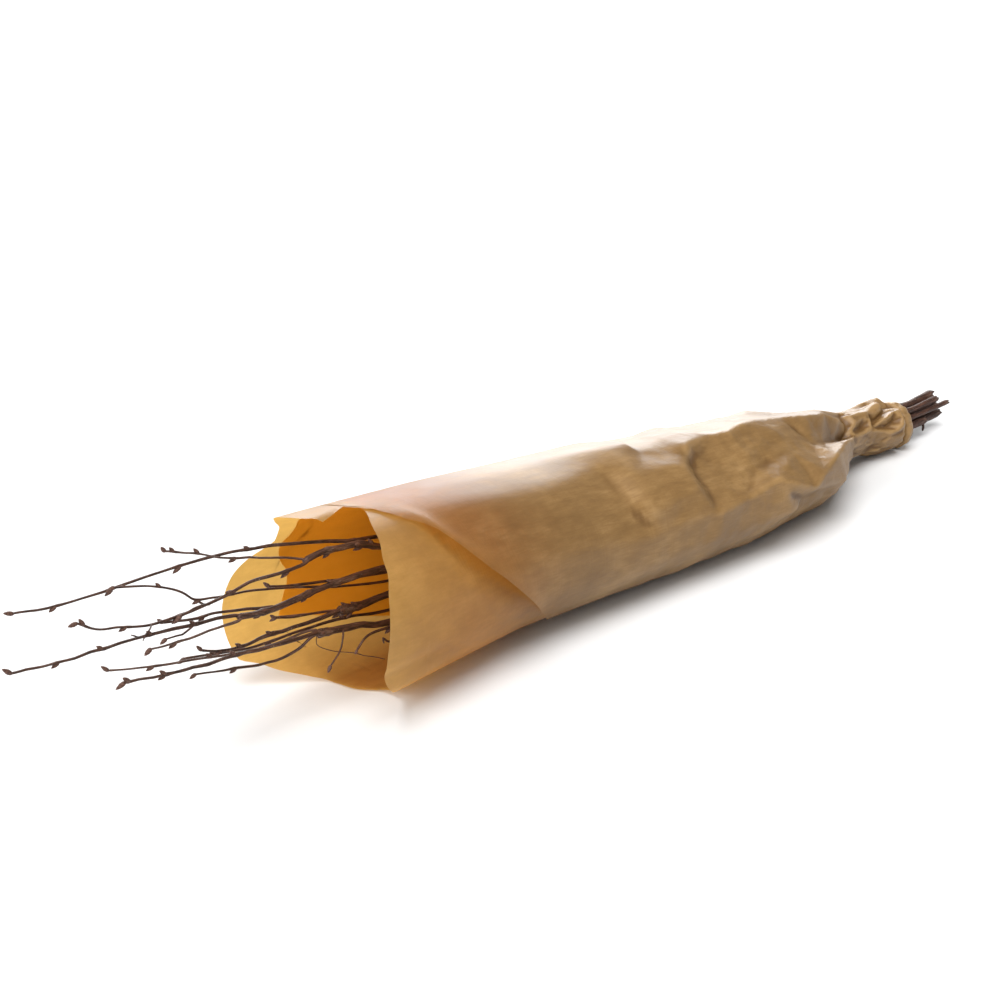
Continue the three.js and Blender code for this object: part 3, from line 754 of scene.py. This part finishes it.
def curve_through(route):
    """Points a short step apart on a smooth curve through a route."""
    route = np.array(route, dtype=float)
    ends = np.vstack([2 * route[0] - route[1], route, 2 * route[-1] - route[-2]])
    drawn = []
    for i in range(1, len(ends) - 2):
        p0, p1, p2, p3 = ends[i - 1 : i + 3]
        gaps = [max(np.linalg.norm(b - a) ** 0.5, 1e-3) for a, b in ((p0, p1), (p1, p2), (p2, p3))]
        leaving = (p1 - p0) / gaps[0] - (p2 - p0) / (gaps[0] + gaps[1]) + (p2 - p1) / gaps[1]
        arriving = (p2 - p1) / gaps[1] - (p3 - p1) / (gaps[1] + gaps[2]) + (p3 - p2) / gaps[2]
        leaving, arriving = leaving * gaps[1], arriving * gaps[1]
        steps = max(2, int(np.linalg.norm(p2 - p1) / RING_STEP))
        t = np.linspace(0, 1, steps, endpoint=False)[:, None]
        drawn.append(
            (2 * t**3 - 3 * t**2 + 1) * p1
            + (t**3 - 2 * t**2 + t) * leaving
            + (3 * t**2 - 2 * t**3) * p2
            + (t**3 - t**2) * arriving
        )
    drawn.append(route[-1:])
    return np.vstack(drawn)


class Wood:
    """The growing mesh of one stretch of twig: its points, faces and marks."""

    def __init__(self, seed):
        self.points = []
        self.faces = []
        self.grain = []
        self.marks = []
        self.randomly = np.random.default_rng(seed)

    def rings(self, rings, grain, marks):
        """A closed skin over rings of points, with a cap on either end."""
        base = sum(len(p) for p in self.points)
        rows, sides = rings.shape[:2]
        self.points.append(rings.reshape(-1, 3))
        self.grain.append(grain.reshape(-1, 3))
        self.marks.append(marks.reshape(-1))
        for i in range(rows - 1):
            for j in range(sides):
                a = base + i * sides + j
                b = base + i * sides + (j + 1) % sides
                self.faces.append((a, b, b + sides, a + sides))
        self.faces.append(tuple(base + j for j in reversed(range(sides))))
        self.faces.append(tuple(base + (rows - 1) * sides + j for j in range(sides)))

    def bud(self, base, axis, size, rolled):
        """A pointed bud of overlapping scales on a small foot."""
        length = BUD_LENGTH * size
        radius = BUD_RADIUS * size**0.5
        side = np.cross(axis, [0.3, 0.2, 1.0])
        side /= np.linalg.norm(side)
        other = np.cross(axis, side)
        t = np.linspace(0, 1, BUD_RINGS)[:, None]
        turn = np.radians(np.arange(BUD_SIDES) * 360 / BUD_SIDES + rolled)[None, :]
        body = np.sin(np.pi * np.clip(0.16 + 0.84 * t**0.85, 0, 1)) ** 0.8
        scales = (t * BUD_SCALES - SCALE_POINTS * np.abs(np.sin(turn * 1.5 + rolled))) % 1.0
        width = radius * (body + SCALE_THICKNESS * (1 - scales) * body) * (1 + 0.08 * np.cos(turn * 2))
        bend = (t**2) * radius * 0.5
        rings = (
            base
            + axis * (t * length - BUD_ROOT)[..., None]
            + side * (np.cos(turn) * width + bend)[..., None]
            + other * (np.sin(turn) * width)[..., None]
        )
        grain = np.stack([np.cos(turn) * radius + 0 * t, np.sin(turn) * radius + 0 * t,
                          t * length + 0 * turn + rolled], axis=-1)
        self.rings(rings, grain, 0.6 + 0.4 * (1 - scales))

    def limb(self, route, radii, buds=(), twiglets=()):
        """A stretch of shoot along a route, with its buds and the twiglets fused to it."""
        centre = curve_through(route)
        count = len(centre)
        along = np.gradient(centre, axis=0)
        along /= np.linalg.norm(along, axis=1, keepdims=True)
        run = np.concatenate([[0], np.cumsum(np.linalg.norm(np.diff(centre, axis=0), axis=1))])
        wander = self.randomly.normal(0, 1, (count // WANDER_RINGS + WANDER_RINGS, 3))
        places = np.linspace(0, len(wander) - 1, count)
        loose = WANDER * np.minimum(1, np.minimum(run, run[-1] - run) / STEADY_ENDS)
        for k in range(3):
            centre[:, k] += loose * np.interp(places, np.arange(len(wander)), wander[:, k])
        radius = np.interp(run / run[-1], np.linspace(0, 1, len(radii)), radii)
        swell = np.zeros(count)
        for bud in buds:
            node = int(np.argmin(np.abs(centre[:, 0] - bud[0])))
            swell += NODE_SWELLING * hump(run, run[node], NODE_LENGTH)
        uneven = np.interp(places, np.arange(len(wander)), wander[:, 0]) * UNEVEN_GIRTH
        radius = radius * (1 + swell + uneven)
        radius[0] *= BUTT_NARROWS
        radius[-1] *= TIP_NARROWS
        out = np.array([0.0, 0.0, 1.0])
        turn = -np.radians(np.arange(TWIG_SIDES) * 360 / TWIG_SIDES)
        rings, grains = [], []
        for i in range(count):
            out = out - along[i] * (out @ along[i])
            out /= np.linalg.norm(out)
            side = np.cross(along[i], out)
            lumps = 1 + 0.05 * np.sin(turn * 2 + run[i] * 0.12) + 0.03 * np.sin(turn * 3 - run[i] * 0.3)
            spokes = np.cos(turn)[:, None] * out + np.sin(turn)[:, None] * side
            rings.append(centre[i] + spokes * (radius[i] * lumps)[:, None])
            grains.append(np.stack([np.cos(turn) * radius[i], np.sin(turn) * radius[i],
                                    np.full(TWIG_SIDES, run[i])], axis=-1))
        if centre[0, 0] > NECK_X:
            torn = self.randomly.uniform(-1, 1, TWIG_SIDES) * radius[0] * TORN
            rings[0] = rings[0] - along[0] * torn[:, None]
            heart = centre[0] + (rings[0] - centre[0]) * HEART_GIRTH
            rings.insert(0, heart + along[0] * radius[0] * HEART_DEPTH)
            grains.insert(0, grains[0] * HEART_GIRTH)
        rings, grains = np.array(rings), np.array(grains)
        self.rings(rings, grains, np.zeros(rings.shape[:2]))
        for bud in buds:
            self.bud_on(centre, along, radius, *bud)
        for twiglet in twiglets:
            self.limb(**twiglet)

    def bud_on(self, centre, along, radius, x, side, size=1.0):
        """A bud at one x of a shoot, on the side at some degrees from the top."""
        passed = np.nonzero(centre[:, 0] <= x)[0]
        tip = len(passed) == 0
        i = len(centre) - 1 if tip else passed[0]
        turned = math.radians(side)
        out = np.array([0, -math.sin(turned), math.cos(turned)])
        out -= along[i] * (out @ along[i])
        out /= np.linalg.norm(out)
        lean = math.radians(TIP_BUD_LEAN if tip else BUD_LEAN)
        axis = along[i] * math.cos(lean) + out * math.sin(lean)
        base = centre[i] + out * (0 if tip else radius[i] * BUD_SEAT)
        self.bud(base, axis / np.linalg.norm(axis), size, float(self.randomly.uniform(0, 6)))


# Each shoot's route from its cut end or fork to its tip, its radii along that, its buds
# as x, side and size, and its twiglets.
SHOOTS = {
    "twig_1": dict(
        route=[*gathered(606, 2, 7.2), (260, 10, 54), (18, 20, 85), (-9, 20, 90), (-51, 22, 101),
               (-93, 25, 109), (-139, 30, 112), (-188, 30, 114), (-226, 30, 117), (-251, 30, 122)],
        radii=[3.9, 3.4, 3, 2.5, 1.9, 1.5, 1.3, 1.0, 0.8, 0.6],
        buds=[(-8, 140, 1.1), (-90, 20, 0.8), (-136, 170, 1.1), (-184, 180), (-222, 170, 0.9),
              (-252, 0, 1.1)],
    ),
    "twig_2_stem": dict(
        route=[*gathered(602, -5, 7), (260, 0, 52), (7, 8, 84), (-18, 10, 93), (-46, 10, 97),
               (-61, 10, 96)],
        radii=[2.4, 2.3, 2.1, 1.9, 1.7, 1.8, 1.9],
        buds=[(-6, 20, 1.1), (-12, 190, 1.2), (-16, 80, 1.0), (-40, 180, 1.0)],
    ),
    "twig_2_leader": dict(
        route=[(-58, 9, 96), (-61.6, 8, 95.6), (-77, 7, 96), (-102, 8, 98), (-124, 10, 95),
               (-154, 6, 97), (-183, 2, 101), (-207, 0, 108), (-222, -2, 113), (-238, -4, 122)],
        radii=[0.92, 1.01, 0.92, 0.92, 0.84, 0.76, 0.67, 0.59],
        buds=[(-76, 190, 1.1), (-118, 20, 0.8), (-160, 170, 1.1), (-200, 185, 0.9), (-232, 10),
              (-238, 180, 1.1)],
        twiglets=[
            dict(route=[(-128, 9.6, 95.2), (-138, 6.5, 96.5), (-149, 3.5, 99), (-162.6, 2, 98.9)],
                 radii=[0.7, 0.6],
                 buds=[(-162.6, 180, 1.1)]),
            dict(route=[(-183, 2, 101), (-187, -2, 101.5), (-193, -5, 100.9), (-197, -7, 99)],
                 radii=[0.5, 0.4]),
        ],
    ),
    "twig_2_side": dict(
        route=[(-58, 11, 96), (-61.6, 12.4, 97), (-84, 12, 105), (-107, 8, 113), (-129, 5, 121),
               (-144, 3, 128), (-177, -4, 142)],
        radii=[0.67, 0.67, 0.67, 0.59, 0.59],
        buds=[(-116, 190, 0.9), (-148, 0, 0.9), (-168, 0, 0.8), (-177, 20, 0.9)],
    ),
    "twig_3_stem": dict(
        route=[*gathered(609, 0, 0.4), (260, 3, 42), (7, 10, 71), (-26, 10, 74), (-54, 9, 76),
               (-89, 7, 77), (-118, 5, 82.5)],
        radii=[3.3, 3.2, 3, 2.7, 2.4, 2.2, 2, 1.8, 1.9],
        buds=[(-38, 0), (-60, 180, 0.9), (-98, 200, 0.9)],
        twiglets=[
            dict(route=[(-88, 8, 78), (-123, 15, 84), (-145, 15, 87), (-166, 13, 93)],
                 radii=[0.9, 0.8, 0.7],
                 buds=[(-134, 180, 0.8), (-166, 0, 0.9)]),
        ],
    ),
    "twig_3_leader": dict(
        route=[(-115, 5.5, 82), (-118.6, 6.4, 83.4), (-155, 3, 90.5), (-192, -1, 98),
               (-224, -5, 103), (-259, -8, 108), (-286, -10, 113)],
        radii=[1.09, 1.01, 0.84, 0.76, 0.67],
        buds=[(-150, 0, 0.8), (-186, 10, 0.8), (-222, 0, 0.8), (-254, 185, 0.9), (-286, 0, 1.2)],
        twiglets=[
            dict(route=[(-154, 2, 90), (-166, -3, 91), (-181, -6, 94)],
                 radii=[0.6, 0.5],
                 buds=[(-181, 180, 0.9)]),
            dict(route=[(-192, -1, 98), (-197, -5, 100.5), (-205.7, -8, 105.6)],
                 radii=[0.5, 0.4]),
        ],
    ),
    "twig_3_side": dict(
        route=[(-115, 4.6, 81.6), (-118.6, 3.4, 81.2), (-134, 0, 84), (-162, -7, 89),
               (-178, -10, 92), (-199, -14, 97)],
        radii=[0.84, 0.76, 0.67, 0.59],
        buds=[(-176, 190, 1), (-199, 160, 1.1)],
    ),
    "twig_4": dict(
        route=[*gathered(598, 7, 4.5), (260, 16, 42), (29, 30, 56), (-20, 30, 66), (-44, 30, 71),
               (-70, 30, 78)],
        radii=[2.1, 2, 1.7, 1.4, 1, 0.8],
        buds=[(-70, 0)],
    ),
    "twig_5": dict(
        route=[*gathered(596, 8, -2), (260, 14, 36), (23, 25, 53), (-25, 25, 65), (-82, 24, 82),
               (-122, 20, 91), (-135, 20, 94), (-144, 20, 101), (-163, 20, 111), (-192, 20, 120)],
        radii=[2.2, 2.1, 1.8, 1.3, 1.0, 0.8, 0.7, 0.6],
        buds=[(-104, 0, 0.9), (-132, 180, 0.9), (-160, 0, 0.7), (-192, 180)],
        twiglets=[
            dict(route=[(-134, 20, 94), (-126, 24, 88), (-117, 28, 83)],
                 radii=[0.7, 0.6]),
        ],
    ),
    "twig_6_stem": dict(
        route=[*gathered(611, -2, -6.8), (260, 9, 31), (14, 16, 50), (-18, 14, 52), (-32, 13, 55)],
        radii=[3.3, 3.0, 2.5, 2.2, 2, 2.2],
        buds=[(-14, 10, 1.1), (-22, 0, 1.2), (-20, 150, 1.0), (-27, 70, 1.2), (-29, 200, 1.1)],
        twiglets=[
            dict(route=[(-17, 14, 51.6), (-34.5, 14, 55.7), (-54, 16, 59.3), (-79, 17, 65.4)],
                 radii=[0.7, 0.6],
                 buds=[(-79, 0, 0.8)]),
            dict(route=[(587, -5, 10.5), (582, -9, 6.8), (579.5, -10, 5.2)],
                 radii=[1.1, 0.9]),
        ],
    ),
    "twig_6_leader": dict(
        route=[(-29, 12.8, 55), (-32.6, 11.8, 55.6), (-57, 13, 56), (-83, 14, 58), (-105, 13, 59),
               (-126, 12, 63), (-141, 11, 69)],
        radii=[1.26, 1.18, 1.09, 0.84, 0.67],
        buds=[(-84, 0, 0.8), (-108, 0, 0.9), (-124, 180, 1.1), (-141, 0, 0.9)],
    ),
    "twig_6_side": dict(
        route=[(-29, 14, 54.5), (-32.6, 15.4, 55), (-47, 21, 56), (-69, 26, 60)],
        radii=[0.76, 0.67, 0.59],
        buds=[(-69, 180, 0.9)],
    ),
    "twig_7": dict(
        route=[*gathered(604, 5, -7), (260, 16, 25), (26, 26, 33), (-14, 24, 42), (-48, 22, 47),
               (-75, 22, 49), (-97, 22, 51), (-120, 21, 57), (-147, 18, 64)],
        radii=[2.3, 2.2, 1.9, 1.5, 1.1, 0.9, 0.7],
        buds=[(-14, 0, 0.9), (-76, 190, 0.9), (-122, 0, 0.9), (-147, 180)],
    ),
    "twig_8_stem": dict(
        route=[*gathered(584, -7, -4.5), (260, 0, 25), (7, 8, 37), (-27, 6, 46), (-60, 4, 53)],
        radii=[3.0, 2.8, 2.2, 2, 1.8, 2.1],
        buds=[(-50, 200, 0.9), (-54, 80, 0.9)],
        twiglets=[
            dict(route=[(-36, 5, 48), (-41, 0, 46.5), (-45.4, -3, 41.8), (-58.7, -6, 34.9)],
                 radii=[0.6, 0.5],
                 buds=[(-58.7, 180, 0.8)]),
            dict(route=[(-58, 4, 52), (-61.5, 1, 48), (-52.6, -2, 42.1), (-39.6, -6, 36.9),
                        (-19.4, -12, 27.8)],
                 radii=[0.3, 0.25]),
        ],
    ),
    "twig_8_leader": dict(
        route=[(-57, 4, 53), (-60.6, 3, 54), (-80, 1, 57), (-106, -1, 61), (-135, -3, 67),
               (-162, -6, 71), (-188, -9, 77), (-215, -11, 83)],
        radii=[1.26, 1.26, 1.09, 1.01, 0.84, 0.76],
        buds=[(-128, 0, 0.9), (-184, 10), (-184, 190, 0.9), (-212, 20, 1.1), (-215, 180, 1.2)],
    ),
    "twig_8_upper": dict(
        route=[(-57, 5.5, 54), (-60.6, 6.8, 54.4), (-80, 6, 55.5), (-101, 5, 58), (-128, 6, 63),
               (-145, 6, 67), (-181, 8, 74), (-208, 10, 81)],
        radii=[0.76, 0.76, 0.67, 0.59],
        buds=[(-138, 0, 0.8), (-176, 190, 0.9), (-208, 0)],
    ),
    "twig_8_lower": dict(
        route=[(-57, 5, 51.5), (-60.6, 6, 50.6), (-66, 12, 43), (-78, 17, 39), (-114, 16, 47),
               (-147, 10, 57)],
        radii=[0.84, 0.84, 0.76, 0.67, 0.59],
        buds=[(-110, 180, 0.9), (-147, 180, 0.9)],
    ),
    "twig_9": dict(
        route=[*gathered(614, -8, 2), (260, -5, 28), (0, -2, 40), (-28, -6, 43), (-40, -9, 39)],
        radii=[1.9, 1.8, 1.5, 1.1, 0.7],
        buds=[(-2, 180, 1.1), (-40, 180, 0.5)],
        twiglets=[
            dict(route=[(-1, -3, 39), (-6.7, -6, 33.7), (-13.1, -8, 35.8), (-17.5, -9, 39.5),
                        (-16.8, -9, 36.1)],
                 radii=[0.7, 0.6]),
        ],
    ),
}
YOUNG_SHOOTS = ("twig_2_side", "twig_3_side", "twig_6_side", "twig_8_upper")

BARK_DARK = (0.016, 0.007, 0.005, 1)
BARK_RED = (0.11, 0.048, 0.029, 1)
BARK_GREY = (0.22, 0.15, 0.115, 1)
YOUNG_DARK = (0.04, 0.019, 0.013, 1)
YOUNG_RED = (0.16, 0.085, 0.06, 1)
LENTICEL = (0.40, 0.31, 0.24, 1)
BUD_RED = (0.055, 0.024, 0.017, 1)
BUD_EDGE = (0.12, 0.06, 0.04, 1)
BARK_SHEEN = 0.28
BARK_BUMP = 0.6
BARK_RELIEF = 0.0004


def bark(name, dark, red):
    """Streaked red-brown bark with a grey bloom, pale lenticels and scaly buds."""
    material, start, end = finish_named(name)
    grain = start.marked("grain", "Vector")
    on_bud = start.marked("on_bud")

    # The grain runs along the shoot in its third number, in millimetres.
    patches = stretched_noise(start, grain, (1, 1, 0.35), 0.16, 4)
    streaks = stretched_noise(start, grain, (1, 1, 0.07), 1.6, 4, 0.7)
    rings = stretched_noise(start, grain, (0.25, 0.25, 1), 1.1, 3)
    squeezed = start.node("ShaderNodeMapping", {}, {"Vector": grain, "Scale": (0.55, 0.55, 1.7)})
    dashes = start.node("ShaderNodeTexVoronoi", {}, {"Vector": squeezed, "Scale": 0.62}, "Distance")
    lenticels = (1 - dashes.between(0.10, 0.17)) * patches.between(0.4, 0.6)
    skin = streaks.between(0.35, 0.7).tint(dark, red)
    bloom = (patches.between(0.52, 0.72) * streaks.between(0.3, 0.7) * 0.7).tint(skin, BARK_GREY)
    dotted = (lenticels * 0.75).tint(bloom, LENTICEL)
    scales = on_bud.between(0.6, 0.98).tint(BUD_EDGE, BUD_RED)
    colour = on_bud.between(0.2, 0.5).tint(dotted, scales)
    relief = streaks * 0.5 + rings * 0.4 + lenticels * 0.6
    wood = start.node(
        "ShaderNodeBsdfPrincipled",
        {},
        {
            "Base Color": colour,
            "Roughness": 0.45 + streaks * 0.25,
            "Specular IOR Level": BARK_SHEEN,
            "Normal": relief.bumps(BARK_BUMP, BARK_RELIEF),
        },
    )
    material.node_tree.links.new(wood.socket, end.inputs["Surface"])
    return material


old_bark = bark("bark", BARK_DARK, BARK_RED)
young_bark = bark("young_bark", YOUNG_DARK, YOUNG_RED)
FIRST_SEED = 3

for number, (name, shoot) in enumerate(SHOOTS.items()):
    wood = Wood(seed=FIRST_SEED + number)
    wood.limb(**shoot)
    piece = mesh_piece(name + "_bark", np.vstack(wood.points), wood.faces)
    mark(piece, "on_bud", np.concatenate(wood.marks))
    grain = piece.data.attributes.new("grain", "FLOAT_VECTOR", "POINT")
    grain.data.foreach_set("vector", np.vstack(wood.grain).astype(np.float32).ravel())
    piece.data.materials.append(young_bark if name in YOUNG_SHOOTS else old_bark)
    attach(piece, "root")
    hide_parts(name)
    "young_bark" if name in YOUNG_SHOOTS else "bark"


# The floor: a wide, plain, pale sheet of matt board that the bundle lies on. It is not
# part of the object.

FLOOR_HALF = 25.0
FLOOR_WHITE = (0.74, 0.74, 0.74, 1)
floor_mesh = bpy.data.meshes.new("floor")
floor_corners = [(-1, -1), (1, -1), (1, 1), (-1, 1)]
floor_mesh.from_pydata(
    [(x * FLOOR_HALF, y * FLOOR_HALF, 0) for x, y in floor_corners], [], [(0, 1, 2, 3)]
)
floor = bpy.data.objects.new("floor", floor_mesh)
bpy.context.scene.collection.objects.link(floor)
floor_white, start, end = finish_named("floor_white")
matt = start.node("ShaderNodeBsdfPrincipled", {}, {"Base Color": FLOOR_WHITE, "Roughness": 0.9})
floor_white.node_tree.links.new(matt.socket, end.inputs["Surface"])
floor_mesh.materials.append(floor_white)


# The light: a pale studio, white all round. A large soft lamp stands above the camera's
# side, a weaker one beyond the tips, and a low one behind that makes the paper's top
# shine.

STUDIO_GLOW = 0.26
world = bpy.data.worlds.new("studio")
world.use_nodes = True
world.node_tree.nodes["Background"].inputs["Color"].default_value = (1, 1, 1, 1)
world.node_tree.nodes["Background"].inputs["Strength"].default_value = STUDIO_GLOW
bpy.context.scene.world = world
bpy.context.scene.view_settings.view_transform = "Standard"


def soft_light(name, shining, spread, strength):
    """A far lamp that shines one way and looks as many degrees wide as its spread."""
    lamp = bpy.data.lights.new(name, "SUN")
    lamp.angle = math.radians(spread)
    lamp.energy = strength
    holder = bpy.data.objects.new(name, lamp)
    holder.rotation_mode = "QUATERNION"
    holder.rotation_quaternion = Vector(shining).to_track_quat("-Z", "Y")
    bpy.context.scene.collection.objects.link(holder)


soft_light("front", (0.28, 0.22, -1.0), 45, 3.0)
soft_light("left", (1.0, 0.15, -0.5), 40, 2.6)
soft_light("behind", (-0.7, -0.7, -0.31), 40, 2.7)


# The camera stands 50 degrees round from square on and looks 21 degrees down, through
# a long lens.

CAMERA_AT = (-1.1424, -0.9152, 0.6292)
CAMERA_TURN = math.radians(50)
CAMERA_DOWN = math.radians(21)
LONG_LENS = 90
FILM_WIDTH = 36
lens = bpy.data.cameras.new("camera")
lens.lens = LONG_LENS
lens.sensor_width = FILM_WIDTH
lens.clip_start = 0.05
lens.clip_end = 50
camera = bpy.data.objects.new("camera", lens)
camera.location = CAMERA_AT
looking = Vector((
    math.sin(CAMERA_TURN) * math.cos(CAMERA_DOWN),
    math.cos(CAMERA_TURN) * math.cos(CAMERA_DOWN),
    -math.sin(CAMERA_DOWN),
))
camera.rotation_mode = "QUATERNION"
camera.rotation_quaternion = looking.to_track_quat("-Z", "Y")
bpy.context.scene.collection.objects.link(camera)
bpy.context.scene.camera = camera


bpy.context.view_layer.update()
